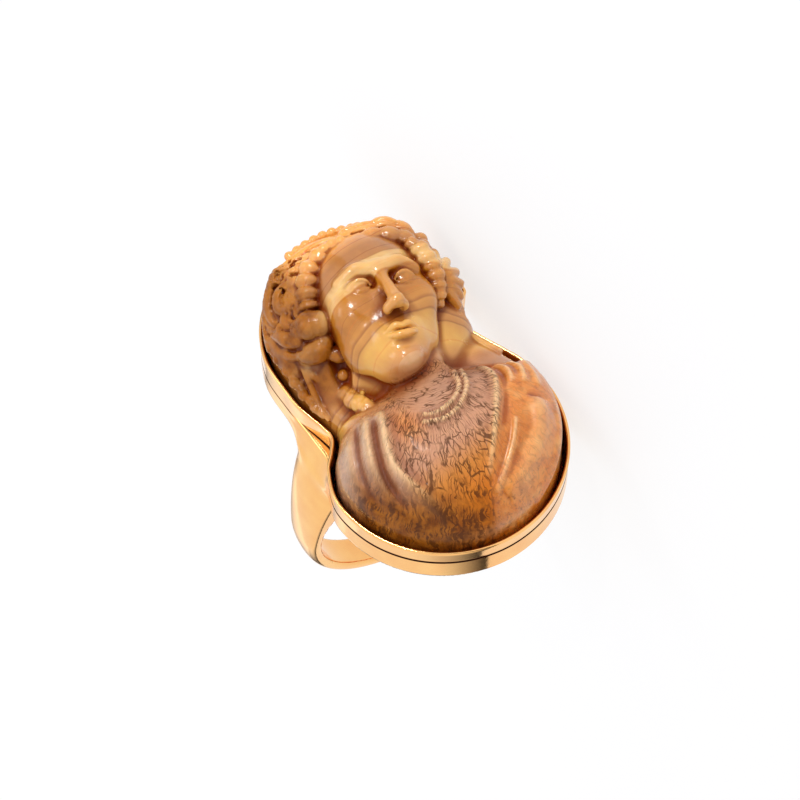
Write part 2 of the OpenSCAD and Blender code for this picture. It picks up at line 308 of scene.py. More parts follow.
# Line across the shoulders, where the bust rises: x and y
SHOULDERS = [(-9.4, -3.4), (-7.8, -1.5), (-6.5, -0.6), (-5.2, -0.15), (-3.0, 0.1), (0.0, 0.2),
             (2.6, -0.4), (4.4, -1.2), (6.4, -2.0), (8.2, -2.5), (9.6, -3.3)]
# Folds of the dress, in the plane: points of each ridge or furrow, its half width and rise
FOLDS = [
    ([(-3.9, -2.6), (-4.9, -4.9), (-5.5, -7.2), (-5.1, -9.2), (-3.7, -12.4)], 0.42, 0.7),
    ([(-4.5, -3.0), (-5.6, -5.4), (-6.2, -7.8), (-5.8, -10.4)], 0.34, -0.35),
    ([(-5.0, -2.2), (-6.4, -5.2), (-6.9, -8.0), (-6.4, -11.4)], 0.42, 0.6),
    ([(-5.7, -2.3), (-7.1, -5.2), (-7.5, -7.8), (-7.1, -10.4)], 0.26, -0.35),
    ([(-6.3, -1.8), (-7.8, -4.8), (-8.2, -7.3), (-7.7, -10.0)], 0.38, 0.5),
    ([(-3.0, -3.4), (-4.1, -5.4), (-4.8, -7.4), (-4.3, -9.8)], 0.5, -0.15),
    ([(4.9, -1.8), (4.9, -4.2), (3.9, -6.4), (2.3, -8.8), (0.2, -11.6)], 0.3, 0.5),
    ([(5.5, -2.4), (5.5, -4.6), (4.5, -6.8), (3.1, -8.8)], 0.3, -0.15),
    ([(6.1, -2.4), (6.2, -4.0), (5.7, -5.6)], 0.26, 0.4),
    ([(6.9, -2.7), (7.1, -4.4), (6.7, -6.0)], 0.26, 0.4),
    ([(7.8, -3.2), (8.0, -5.0), (7.6, -6.4)], 0.28, 0.35),
    ([(4.4, -8.4), (3.4, -9.8), (2.0, -11.2), (0.2, -12.6)], 0.2, 0.3),
    ([(6.9, -7.4), (5.7, -10.0), (3.4, -11.9), (1.2, -13.2)], 0.75, 0.65),
    ([(7.8, -8.4), (7.0, -10.2), (5.3, -11.9)], 0.3, -0.35),
    ([(8.5, -7.4), (8.0, -9.6), (6.4, -11.5)], 0.35, 0.35),
]


def ridge(x, y, points, half, rise):
    curve = smooth_curve(points, 6)
    best = np.full(x.shape, 1e9)
    along = np.zeros(x.shape)
    for i in range(len(curve) - 1):
        a, ab = curve[i], curve[i + 1] - curve[i]
        t = np.clip(((x - a[0]) * ab[0] + (y - a[1]) * ab[1]) / (ab @ ab), 0, 1)
        d = np.hypot(x - a[0] - ab[0] * t, y - a[1] - ab[1] * t)
        along = np.where(d < best, (i + t) / (len(curve) - 1), along)
        best = np.minimum(best, d)
    fade = np.clip(along / 0.12, 0, 1) * np.clip((1 - along) / 0.25, 0, 1)
    return rise * np.exp(-(best / half) ** 2) * np.sqrt(fade)


def ground(clay):
    """The stone's own edge, the low background and the dome of the bust, with the dress on it."""
    x, y = np.meshgrid(clay.axes[0], clay.axes[1], indexing="ij")
    d = outline_gap(x, y, STONE_INSET)
    inside = np.maximum(d, 0)
    base = rounded(inside, *EDGE_CURVE)
    under = np.interp(x, *np.transpose(SHOULDERS)) - y
    swell = RIGHT_SWELL * np.clip((x - 3) / 4, 0, 1) * np.clip(under / 0.6, 0, 1)
    bust = rounded(np.minimum(inside + swell, under * 0.9), *DOME_CURVE)
    dress = sum(ridge(x, y, *f) for f in FOLDS)
    dress = dress * np.clip(under / 0.8, 0, 1) * np.clip(inside / 1.2, 0, 1)
    bust = np.where(under > 0, bust + dress, 0)
    height = np.maximum(base, bust) - EDGE_DROP
    across, along = np.gradient(height, clay.step)
    steep = 1 / np.sqrt(1 + np.minimum(across ** 2 + along ** 2, 9))
    top = (clay.axes[2][None, None, :] - height[:, :, None]) * steep[:, :, None]
    clay.dist[:] = np.minimum(clay.dist, np.maximum(top, -d[:, :, None]))
    return d


# The head: u to its right, v up and w out of the face, from a middle between the eyes and mouth
HEAD = axes_at((0.9, 4.5, 7.3), (8, 8, -12), 1.08)


def both(act, centre, radii, blend):
    """A round form on each side of the face. act: clay.add or clay.cut."""
    for side in (-1, 1):
        act(ball((centre[0] * side, centre[1], centre[2]), radii, at=HEAD), blend)


def head(clay):
    clay.add(ball((0, 1.7, -3.6), (4.15, 4.5, 3.75), at=HEAD), 0.25)
    clay.add(ball((0, -0.6, -2.6), (3.75, 4.1, 2.7), at=HEAD), 1.0)
    clay.add(ball((0, -3.3, -2.2), (2.35, 2.6, 2.35), at=HEAD), 1.0)
    both(clay.add, (2.25, -2.6, -3.1), (1.1, 1.5, 1.5), 0.9)
    both(clay.add, (2.4, -0.3, -1.45), (1.35, 1.4, 1.2), 0.9)
    clay.add(ball((0, -4.85, -0.7), (1.05, 0.85, 0.95), at=HEAD), 0.7)
    # Eyes
    both(clay.cut, (1.72, 1.05, 0.5), (1.2, 0.78, 0.9), 0.45)
    both(clay.cut, (0.8, 1.05, 0.1), (0.32, 0.5, 0.5), 0.35)
    for side in (-1, 1):
        clay.add(tube([(0.6 * side, 2.05, 0.0), (1.7 * side, 2.3, -0.1), (2.9 * side, 1.75, -0.85)],
                      [0.36, 0.34, 0.28], at=HEAD), 0.5)
    both(clay.add, (1.7, 0.92, -0.82), (0.95, 0.8, 0.88), 0.08)
    for side in (-1, 1):
        lid = [(0.85 * side, 0.82, -0.08), (1.25 * side, 1.18, 0.08), (1.75 * side, 1.28, 0.06),
               (2.2 * side, 1.1, -0.16), (2.6 * side, 0.78, -0.5)]
        clay.add(tube(lid, [0.08, 0.13, 0.15, 0.14, 0.08], at=HEAD), 0.08)
        lower = [(0.9 * side, 0.76, -0.08), (1.3 * side, 0.55, -0.04), (1.75 * side, 0.48, -0.06),
                 (2.2 * side, 0.56, -0.26), (2.55 * side, 0.76, -0.5)]
        clay.add(tube(lower, [0.06, 0.1, 0.11, 0.1, 0.06], at=HEAD), 0.1)
    # Nose
    clay.add(tube([(0, 2.0, -0.05), (0, 1.2, 0.2), (0, 0.0, 0.75), (0, -1.15, 1.25)],
                  [0.48, 0.38, 0.42, 0.5], at=HEAD), 0.45)
    clay.add(ball((0, -1.4, 1.3), (0.56, 0.48, 0.52), at=HEAD), 0.4)
    both(clay.add, (0.6, -1.56, 0.72), (0.36, 0.4, 0.52), 0.4)
    both(clay.cut, (0.36, -1.98, 0.85), (0.19, 0.2, 0.34), 0.08)
    # Mouth
    clay.add(ball((0, -3.0, -0.75), (1.6, 1.15, 1.1), at=HEAD), 0.6)
    clay.cut(tube([(0, -2.05, 0.7), (0, -2.65, 0.72)], [0.1, 0.16], at=HEAD), 0.25)
    clay.add(tube([(-1.3, -3.18, -0.02), (-0.55, -2.84, 0.52), (0, -2.94, 0.62), (0.55, -2.84, 0.52),
                   (1.3, -3.18, -0.02)], [0.08, 0.26, 0.22, 0.26, 0.08], at=HEAD), 0.12)
    clay.add(tube([(-1.15, -3.3, 0.02), (-0.5, -3.54, 0.48), (0, -3.6, 0.56), (0.5, -3.54, 0.48),
                   (1.15, -3.3, 0.02)], [0.08, 0.28, 0.32, 0.28, 0.08], at=HEAD), 0.12)
    clay.cut(tube([(-1.35, -3.22, 0.18), (-0.6, -3.18, 0.78), (0, -3.24, 0.86), (0.6, -3.18, 0.78),
                   (1.35, -3.22, 0.18)], [0.14, 0.09, 0.08, 0.09, 0.14], at=HEAD), 0.08)
    clay.cut(tube([(-0.7, -4.2, 0.62), (0.7, -4.2, 0.62)], 0.26, at=HEAD), 0.45)


def neck(clay):
    clay.add(tube([(0.9, 1.8, 2.5), (0.5, -1.4, 2.3), (0.1, -5.2, 1.9)], [2.6, 2.3, 3.0]), 1.1)


# Round masses under the hair: middle, radii, turn about z
MASSES = [
    ((0.6, 5.4, 0.0), (7.2, 7.6, 5.0), -10),
    ((-2.6, 10.6, 3.2), (2.4, 1.6, 2.2), 35), ((-3.8, 11.3, 2.0), (1.7, 1.6, 2.4), 20),
    ((-1.4, 12.0, 2.2), (1.9, 1.2, 2.3), -10), ((-4.4, 8.2, 3.0), (1.6, 2.5, 2.2), -8),
    ((-4.9, 5.4, 2.4), (1.6, 1.6, 2.0), 0), ((-5.2, 10.6, 1.2), (1.5, 2.1, 2.0), -38),
    ((-6.4, 7.4, 0.8), (1.1, 2.9, 2.0), -6), ((0.2, 12.3, 1.6), (3.4, 1.3, 2.3), 4),
    ((3.4, 10.4, 2.8), (2.4, 1.6, 2.4), -18), ((5.8, 8.2, 2.4), (1.3, 2.2, 2.4), 8),
    ((5.9, 5.2, 2.0), (1.2, 1.9, 2.3), 0), ((6.8, 8.2, 0.6), (1.0, 2.3, 1.7), 12),
]
# Locks, from under the ones that lie on them: points, radii, lumps along it, their depth
LOCKS = [
    # Left, outside: under the drilled patch, along the rim, and round the ear
    ([(-4.4, 11.6, 2.9), (-5.3, 10.7, 2.7), (-5.9, 9.6, 2.6), (-6.1, 8.7, 2.7)],
     [0.6, 0.8, 0.75, 0.5], 0, 0),
    ([(-6.7, 9.6, 1.3), (-6.9, 8.8, 1.5), (-6.8, 8.0, 1.8)], [0.4, 0.55, 0.45], 0, 0),
    ([(-4.5, 10.4, 4.0), (-5.2, 9.9, 3.9), (-5.6, 9.1, 3.8), (-5.2, 8.6, 4.2)],
     [0.45, 0.6, 0.55, 0.45], 0, 0),
    ([(-5.2, 8.5, 3.9), (-5.7, 7.8, 3.9), (-5.6, 7.1, 4.1)], [0.5, 0.65, 0.55], 0, 0),
    ([(-6.7, 8.0, 2.6), (-6.5, 7.3, 3.1), (-6.2, 6.7, 3.5), (-5.8, 6.1, 3.8)],
     [0.45, 0.65, 0.85, 0.7], 0, 0),
    ([(-6.8, 6.6, 2.0), (-6.5, 6.0, 2.5), (-6.1, 5.4, 2.9)], [0.5, 0.6, 0.5], 0, 0),
    # The smooth band under the pearls, and the knots in front of it
    ([(-3.3, 12.1, 3.7), (-2.2, 12.0, 4.1), (-1.0, 11.8, 4.6), (0.1, 11.5, 4.9), (0.9, 11.1, 5.1)],
     [0.4, 0.55, 0.6, 0.55, 0.4], 0, 0),
    # Ribbed ringlet beside the brow, and the big curl that it ends in
    ([(0.2, 11.0, 5.6), (-1.1, 10.6, 5.7), (-2.4, 10.0, 5.5), (-3.25, 9.1, 5.4), (-3.8, 8.1, 5.2),
      (-4.1, 7.3, 5.0)],
     [0.5, 0.8, 0.95, 1.0, 1.0, 0.8], 6, 0.35),
    ([(-6.0, 5.7, 3.0), (-5.7, 4.9, 3.3), (-5.1, 4.5, 3.8), (-4.4, 4.7, 4.2)],
     [0.5, 0.8, 0.95, 0.75], 7, 0.06),
    ([(-5.7, 6.6, 4.2), (-5.1, 6.3, 4.7), (-4.5, 6.0, 5.0), (-3.9, 5.7, 5.0)],
     [0.6, 1.05, 1.15, 0.9], 3, 0.08),
    ([(-4.5, 4.4, 3.2), (-4.1, 3.9, 3.5), (-3.7, 3.3, 3.3)], [0.45, 0.65, 0.45], 2, 0.15),
    # Waves over the brow
    ([(0.8, 11.1, 5.2), (1.8, 11.0, 5.3), (2.9, 10.8, 5.2), (4.1, 10.6, 5.1), (5.0, 10.0, 5.0),
      (5.6, 9.3, 4.9)],
     [0.65, 0.95, 0.9, 0.95, 0.85, 0.65], 4, 0.16),
    ([(1.0, 10.3, 5.8), (2.2, 10.1, 5.9), (3.4, 9.7, 5.9), (4.5, 9.1, 5.7), (5.2, 8.6, 5.4)],
     [0.45, 0.7, 0.75, 0.75, 0.6], 4, 0.22),
    # Right: ribbed lock beside the brow
    ([(4.9, 8.2, 5.9), (5.3, 7.3, 5.8), (5.4, 6.3, 5.5), (5.4, 5.4, 5.2), (5.2, 4.5, 4.9),
      (4.9, 3.7, 4.5), (4.6, 3.1, 4.0)],
     [0.5, 0.8, 0.9, 0.9, 0.8, 0.65, 0.4], 8, 0.2),
]
# Round knots of hair: middle and radius
KNOTS_OF_HAIR = [
    ((-0.9, 10.75, 6.1), 0.42), ((-0.2, 10.75, 6.2), 0.45), ((0.5, 10.7, 6.2), 0.4),
    ((-6.3, 7.6, 3.5), 0.55), ((-5.35, 9.3, 4.1), 0.5), ((-4.1, 2.4, 2.5), 0.45),
    ((-6.3, 10.0, 1.9), 0.6), ((-5.2, 11.5, 1.9), 0.6),
    ((5.2, 8.5, 5.6), 0.5), ((5.9, 7.7, 5.2), 0.55), ((6.3, 6.9, 4.7), 0.5), ((6.2, 8.6, 4.5), 0.6),
    ((6.0, 3.7, 3.1), 0.55), ((6.5, 9.3, 2.6), 0.55), ((4.2, 11.4, 4.4), 0.6), ((2.6, 11.7, 4.6), 0.6),
]
# Fine grooves along the hair, in the plane
GROOVES = [
    [(-4.7, 11.2), (-5.5, 10.5), (-6.1, 9.6), (-6.3, 8.8)], [(-6.9, 9.4), (-7.1, 8.6), (-6.9, 7.9)],
    [(-4.7, 10.0), (-5.3, 9.6), (-5.5, 9.0)], [(-5.0, 8.3), (-5.4, 7.8), (-5.4, 7.2)],
    [(-5.6, 8.2), (-6.0, 7.7), (-5.9, 7.1)], [(-6.6, 7.6), (-6.3, 7.0), (-5.8, 6.5)],
    [(-6.8, 6.2), (-6.5, 5.7), (-6.1, 5.2)], [(-2.6, 11.9), (-1.2, 11.7), (0.1, 11.35)],
    [(1.2, 11.4), (2.6, 11.2), (4.0, 10.9), (5.1, 10.1)], [(1.6, 10.8), (3.0, 10.5), (4.2, 10.1), (5.2, 9.3)],
    [(-6.4, 10.7), (-6.9, 9.9), (-7.2, 9.0)], [(-5.6, 11.4), (-6.3, 10.9), (-6.7, 10.2)],
]
GROOVE_R = 0.14
# The shell-shaped lock: its hub and the tips of its ribs
SHELL_HUB = (5.5, 4.7, 4.3)
SHELL_TIPS = [(6.5, 7.0, 4.3), (7.0, 6.2, 4.0), (7.25, 5.3, 3.6), (7.15, 4.4, 3.3), (6.75, 3.7, 3.0),
              (6.2, 3.2, 2.8)]
SHELL_R = (0.35, 0.46, 0.42)  # of a rib at the hub, halfway and at the tip
SHELL_ARCH = 0.5        # how much higher a rib is halfway
SHELL_REACH = 0.5       # how much further the shell leans over the rim
STRAND_PITCH = 0.55     # of the fine strands on the round masses
STRAND_DEPTH = 0.04
# Small pits between the locks: middle and radius
PITS = [
    ((5.45, 3.3, 3.9), 0.28), ((7.2, 4.6, 3.2), 0.2), ((-4.9, 10.2, 4.1), 0.3),
    ((-4.75, 9.2, 4.4), 0.3), ((-5.0, 7.5, 4.6), 0.25),
]


def hair(clay):
    for middle, radii, turn in MASSES:
        # The widest is the back of the head, which has no strands.
        depth = STRAND_DEPTH if radii[0] < 4 else 0.0
        clay.add(ball(middle, radii, (0, 0, turn), strands=(0, STRAND_PITCH, depth)), 0.4)
    # The deep hollow between the curls and the jaw
    clay.cut(tube([(-3.5, 5.2, 4.1), (-3.7, 4.0, 3.8), (-4.2, 2.8, 3.3), (-4.6, 1.6, 2.7)],
                  [0.5, 0.75, 0.85, 0.7]), 0.3)
    for points, radii, lumps, depth in LOCKS:
        clay.add(tube(points, radii, ribs=lumps, depth=depth), 0.07)
    for middle, radius in KNOTS_OF_HAIR:
        clay.add(ball(middle, radius), 0.07)
    for tip in SHELL_TIPS:
        middle = [(h + t) / 2 for h, t in zip(SHELL_HUB, tip)]
        middle[2] += SHELL_ARCH
        clay.add(tube([SHELL_HUB, middle, tip], SHELL_R), 0.04)
    for pit, radius in PITS:
        clay.cut(ball(pit, radius), 0.1)


def score(clay):
    """Cuts the fine grooves into the surface."""
    for points in GROOVES:
        path = smooth_curve(points, 8)
        for middle in [(x, y, clay.top(x, y)) for x, y in path]:
            clay.cut(ball(middle, GROOVE_R), 0.06)


PEARL_STEPS = 20
PEARLS = smooth_curve([(-2.7, 12.85, 3.55), (-1.0, 12.9, 3.95), (0.6, 12.75, 4.2), (2.3, 12.2, 4.35)],
                      PEARL_STEPS)
PEARL_COUNT = 8
PEARL_R = 0.4


def distances(curve):
    """How far along a curve its points are."""
    return np.concatenate([[0], np.cumsum(np.linalg.norm(np.diff(curve, axis=0), axis=1))])


def pearls(clay):
    run = distances(PEARLS)
    for s in np.linspace(0, run[-1], PEARL_COUNT):
        clay.add(ball([np.interp(s, run, PEARLS[:, i]) for i in range(3)], PEARL_R), 0.05)
    for lift, radius in (((0.1, -0.6, -0.1), 0.25), ((0, -0.35, -0.65), 0.45)):
        clay.add(tube(PEARLS[::PEARL_STEPS] + lift, radius), 0.15)


DRILLED_AT = (-3.75, 11.3)
DRILLED_R = (1.35, 1.0)
DRILLED_COUNT = 110


def drilled(clay):
    """The rough patch of drilled hair at the top left."""
    random = np.random.default_rng(11)
    for k in range(DRILLED_COUNT):
        turn = random.uniform(0, 2 * math.pi)
        out = math.sqrt(random.uniform(0, 1))
        x = DRILLED_AT[0] + DRILLED_R[0] * out * math.cos(turn)
        y = DRILLED_AT[1] + DRILLED_R[1] * out * math.sin(turn)
        z = clay.top(x, y)
        if k % 3:
            clay.cut(ball((x, y, z), random.uniform(0.13, 0.24)), 0.04)
        else:
            clay.add(ball((x, y, z - 0.03), random.uniform(0.12, 0.18)), 0.04)


def veil(clay):
    """The hanging edge of the veil at the left, its beaded hem along the rim, and its right side."""
    clay.add(tube([(-6.0, 6.3, 2.1), (-6.15, 5.0, 2.0), (-6.35, 3.6, 1.5), (-6.45, 2.2, 0.9),
                   (-6.4, 0.7, 0.4)], [0.26, 0.26, 0.24, 0.22, 0.18]), 0.1)
    clay.add(ball((-5.75, 4.3, 1.5), (0.45, 1.25, 0.9), (0, -25, 12)), 0.15)
    random = np.random.default_rng(5)
    path = smooth_curve([(-7.1, 8.4, 1.1), (-7.25, 7.3, 1.2), (-7.1, 6.1, 1.15), (-7.05, 5.0, 1.05),
                         (-7.05, 3.9, 0.85), (-6.85, 2.7, 0.6), (-6.6, 1.4, 0.4)], 2)
    for k, (x, y, z) in enumerate(path):
        size = random.uniform(0.36, 0.46)
        clay.add(ball((x + 0.08 * (-1) ** k, y, z), (size, size * 1.1, size)), 0.05)
        clay.add(ball((x + 0.5, y + 0.28, z + 0.25), size * random.uniform(0.5, 0.7)), 0.05)
    # Lock that hangs from the jaw to the shoulder
    clay.add(tube([(-4.3, 1.6, 1.6), (-4.4, 0.6, 1.9), (-4.2, -0.4, 2.4), (-3.9, -1.3, 2.9)],
                  [0.7, 0.75, 0.7, 0.5], ribs=4, depth=0.15), 0.2)
    for k in range(16):
        x, y = random.uniform(-4.7, -3.2), random.uniform(-1.2, 1.2)
        clay.add(ball((x, y, clay.top(x, y) - 0.05), random.uniform(0.16, 0.28)), 0.06)
    clay.add(tube([(5.9, 3.0, 0.9), (6.2, 1.7, 0.9), (6.9, 0.3, 0.8), (7.6, -0.8, 0.7)], 0.26), 0.2)
    clay.add(tube([(3.0, 0.3, 1.9), (4.2, 0.2, 1.6), (5.6, -0.2, 1.2)], [0.4, 0.35, 0.25]), 0.2)
    clay.add(ball((4.9, 1.2, 1.6), (0.35, 0.5, 0.3)), 0.2)


NECKLACE = ([(3.3, -2.3), (2.7, -4.1), (1.6, -5.4), (0.3, -6.1), (-0.9, -6.1), (-1.9, -5.7)],
            [(2.7, -2.3), (2.1, -4.0), (1.2, -4.9), (0.1, -5.4), (-0.9, -5.4), (-1.6, -5.1)])
BEAD_R = 0.25
BEAD_PITCH = 0.46
BEAD_LIFT = 0.14


def necklace(clay):
    for row in NECKLACE:
        curve = smooth_curve([(x, y, 0) for x, y in row], 12)
        run = distances(curve)
        places = [[np.interp(s, run, curve[:, i]) for i in (0, 1)]
                  for s in np.arange(0, run[-1], BEAD_PITCH)]
        for x, y, z in [(x, y, clay.top(x, y)) for x, y in places]:
            clay.add(ball((x, y, z + BEAD_LIFT), BEAD_R), 0.03)


def sample(values, index):
    """Values of a grid between its points."""
    low = np.clip(np.floor(index).astype(int), 0, np.array(values.shape) - 2)
    part = index - low
    out = np.zeros(len(index))
    for corner in np.ndindex(2, 2, 2):
        weight = np.prod(np.where(corner, part, 1 - part), axis=1)
        i = low + corner
        out += weight * values[i[:, 0], i[:, 1], i[:, 2]]
    return out


HOLLOWS = ((0.2, 1.0), (0.55, 0.6))  # how far hollows are felt, in mm, and their weight
HOLLOW_CLIP = 0.8
BLUR_TIMES = 3


def blurred(values, reach):
    """Mean of a grid's values over a cube, a few times over."""
    for axis in (0, 1, 2) * BLUR_TIMES:
        total = np.cumsum(np.pad(values, [(reach + 1, reach) if i == axis else (0, 0) for i in range(3)],
                                 mode="edge"), axis=axis, dtype=np.float64)
        count = values.shape[axis]
        after = np.take(total, range(2 * reach + 1, 2 * reach + 1 + count), axis=axis)
        values = ((after - np.take(total, range(count), axis=axis)) / (2 * reach + 1)).astype(np.float32)
    return values


def skin(clay, name, end_z=None, lift=0.0):
    """The clay's surface as a mesh. A flat end of the grid in z is replaced by one flat face at end_z."""
    grid = openvdb.FloatGrid(FAR)
    grid.copyFromArray(clay.dist)
    index, quads = grid.convertToQuads(isovalue=0.0)
    slopes = np.gradient(clay.dist)
    normals = np.stack([sample(slope, index) for slope in slopes], 1)
    normals /= np.maximum(np.linalg.norm(normals, axis=1), 1e-6)[:, None]
    index = index - normals * np.clip(sample(clay.dist, index) / clay.step, -0.5, 0.5)[:, None]
    points = index * clay.step + clay.low
    if end_z is not None:
        flat = abs(points[:, 2] - clay.axes[2][0]) < clay.step * 0.9
        quads = quads[~flat[quads].all(1)]
    used = np.unique(quads)
    number = np.full(len(points), -1)
    number[used] = np.arange(len(used))
    points, normals, quads = points[used], normals[used], number[quads]
    near = np.clip(clay.dist, -HOLLOW_CLIP, HOLLOW_CLIP)
    swelling = sum(sample(blurred(near, max(1, int(round(reach / clay.step)))), index[used]) * share
                   for reach, share in HOLLOWS)

    mesh = bmesh.new()
    verts = [mesh.verts.new(p) for p in points]
    for quad in quads:
        mesh.faces.new([verts[i] for i in quad])
    rim = [e for e in mesh.edges if e.is_boundary]
    sides = bmesh.ops.extrude_edge_only(mesh, edges=rim)["geom"]
    for v in [g for g in sides if isinstance(g, bmesh.types.BMVert)]:
        v.co.z = end_z
    bmesh.ops.holes_fill(mesh, edges=[e for e in mesh.edges if e.is_boundary])
    mesh.normal_update()
    if mesh.calc_volume(signed=True) < 0:
        bmesh.ops.reverse_faces(mesh, faces=mesh.faces)
    data = bpy.data.meshes.new(name)
    mesh.to_mesh(data)
    mesh.free()
    here = np.empty(len(data.vertices) * 3, np.float32)
    data.vertices.foreach_get("co", here)
    here = here.reshape(-1, 3)
    store(data, "upright", "FLOAT_VECTOR", here)
    hollow = np.zeros(len(here), np.float32)
    hollow[:len(swelling)] = -swelling
    store(data, "hollow", "FLOAT", hollow)
    data.vertices.foreach_set("co", place(here + (0, 0, lift)).astype(np.float32).ravel())
    data.polygons.foreach_set("use_smooth", [True] * len(data.polygons))
    data.update()
    face_normals = np.empty(len(data.vertices) * 3, np.float32)
    data.vertices.foreach_get("normal", face_normals)
    shading = face_normals.reshape(-1, 3).copy()
    shading[:len(normals)] = normals @ np.array(UPRIGHT).T
    data.normals_split_custom_set_from_vertices(shading)
    return data


STONE_BOX = ((-10, -15, FOOT), (10, 15, 9.9))


def carve():
    clay = Clay(*STONE_BOX, STEP)
    edge = ground(clay)
    neck(clay)
    hair(clay)
    veil(clay)
    apart = Clay(*STONE_BOX, STEP)
    head(apart)
    clay.dist = smooth_min(clay.dist, apart.dist, 0.12)
    score(clay)
    pearls(clay)
    drilled(clay)
    necklace(clay)
    # Over the rim the carving may reach past the foot of the stone.
    x, y, z = np.meshgrid(*clay.axes, indexing="ij", sparse=True)
    reach = OVERHANG * np.clip(z / 0.6, 0, 1)
    at_shell = np.clip(x - 5, 0, 1) * np.clip(4 - np.abs(y - 4.5) * 2, 0, 1)
    reach = reach + SHELL_REACH * np.clip(z - 1.2, 0, 1) * at_shell
    clay.dist = np.maximum(clay.dist, -edge[:, :, None] - reach).astype(np.float32)
    return skin(clay, "carved_bust", FLOOR_Z + SEAT_GAP - RIM_Z, lift=RIM_Z)


# What colours the stone: its layers lie nearly square to the finger, so their
# level grows from the top of the head to the foot of the bust.
LAYERS = (0.096, -0.989, 0.114)
DRAPE_EDGE = [(-12.4, -4.2), (-9.2, -5.4), (-6.1, -5.3), (-1.9, -3.3)]  # of the left folds, as y and x
DRESS_EDGE = [(-20.0, -3.0), (-12.0, -0.2), (-11.2, 0.6), (-8.8, 2.3), (-6.4, 4.0), (-4.2, 4.9),
              (-2.0, 4.9)]
CHEST_LEVEL = 1.5       # the bust is past this one, the head before it
THROAT = (0.7, -0.4)    # middle of the arcs of fine lines round the neck
THROAT_R = 5.0
FLOW_TURN = 6.0         # mm round the neck for each radian
FLOW_RISE = 0.2         # how much height counts beside it


def smooth_step(value, low, high):
    t = np.clip((value - low) / (high - low), 0, 1)
    return t * t * (3 - 2 * t)


def add_values(data):
    """Stores on the stone's points: its level, the zones of colour and the way its fine lines run."""
    here = np.empty(len(data.vertices) * 3, np.float32)
    data.attributes["upright"].data.foreach_get("vector", here)
    x, y, z = here.reshape(-1, 3).T
    level = x * LAYERS[0] + y * LAYERS[1] + z * LAYERS[2]
    # The layers dip at both sides of the head.
    head_part = smooth_step(2.0 - level, 0, 2.0)
    level = level - head_part * (smooth_step(-3.0 - x, 0, 1.8) + smooth_step(x - 4.0, 0, 3.0))
    store(data, "level", "FLOAT", level)
    under = np.interp(x, *np.transpose(SHOULDERS)) - y
    jaw = smooth_step(z - np.interp(y, (-3.0, -1.6), (7.0, 4.6)), 0, 0.5)
    chest = smooth_step(under, -0.1, 0.3) * smooth_step(level, 1.0, 1.8) * (1 - jaw)
    edge = np.interp(y, *np.transpose(DRESS_EDGE))
    from_throat = np.hypot(x - THROAT[0], y - THROAT[1])
    throat = (chest * smooth_step(THROAT_R - from_throat, 0, 0.6)
              * smooth_step(2.9 - np.abs(x - 0.4), 0, 0.5))
    dress = smooth_step(x - edge, 0.0, 0.7) * chest
    amber = chest * np.exp(-((x + 3.1) / 1.2) ** 2 - ((y + 5.0) / 1.8) ** 2)
    from_middle = np.hypot(x - BUST_C[0], y - BUST_C[1])
    side = np.arctan2(x - BUST_C[0], BUST_C[1] - y)
    # Painted shade: the lower left of the bust and the left of the hair are painted darker
    shade = (smooth_step(from_middle, 5.8, 8.2) * smooth_step(side, -1.8, -1.2)
             * smooth_step(0.25 - side, 0, 0.9))
    hair_shade = (1 - chest) * smooth_step(-2.8 - x, 0, 2.0) * smooth_step(y, 0.5, 3.0)
    drape = smooth_step(x - np.interp(y, *np.transpose(DRAPE_EDGE)), -0.3, 0.4)
    # The veil's corner under the big curl is pale.
    cream_and_highlight = np.exp(-((x + 5.5) / 0.6) ** 2 - ((y - 4.9) / 0.9) ** 2) * smooth_step(3.2 - z, 0, 0.8)
    # The ridges of the dress and the necklace are painted pale too, as a painted highlight on them.
    cream_and_highlight += chest * sum(ridge(x, y, points, half, 0.28) for points, half, rise in FOLDS if rise > 0)
    cream_and_highlight += chest * sum(ridge(x, y, row, 0.22, 0.35) for row in NECKLACE)
    store(data, "cream_and_highlight", "FLOAT", cream_and_highlight)
    zones = np.stack([np.clip(dress + 0.7 * amber, 0, 1),
                      chest * (1 - 0.7 * dress) * (1 - throat) * (0.3 + 0.7 * drape), throat,
                      chest * shade + 0.85 * hair_shade * (1 - np.clip(cream_and_highlight, 0, 1))], 1)
    store(data, "zones", "FLOAT_COLOR", zones)
    turn = np.arctan2(x - THROAT[0], THROAT[1] - y)
    store(data, "flow", "FLOAT_VECTOR", np.stack([turn * FLOW_TURN, from_throat, z * FLOW_RISE], 1))


# Setting: the closed back and the shank run into each other as solder does, so
# they are clay too. The wall above the seam is drawn as rows round the outline.
BACK_CURVE = 2.2        # how far in from the edge the back curves
LEAN = 0.1              # of the wall, which is narrower at its foot
RIM_ROUND = 0.13
SOLDER = 1.6            # how softly the shoulders run into the back
WALL_TOP = 11.05        # the solder climbs the wall as far as the seam
SKIN_DEEP = 0.13        # of the wall in the clay, behind the drawn one
SIDE_AT = 90            # degrees from the bottom of the ring: its side
TOP_AT = 140            # and the top of the shoulders
WIDEN = 2.4             # how suddenly the shank widens
CROWN_RISE = 0.0011     # of the shoulders' crown, in mm for a degree squared
BORE_ROUND = 0.25       # how rounded the edges of the finger hole are
BORE_SOFT = 0.12        # and where it meets the back


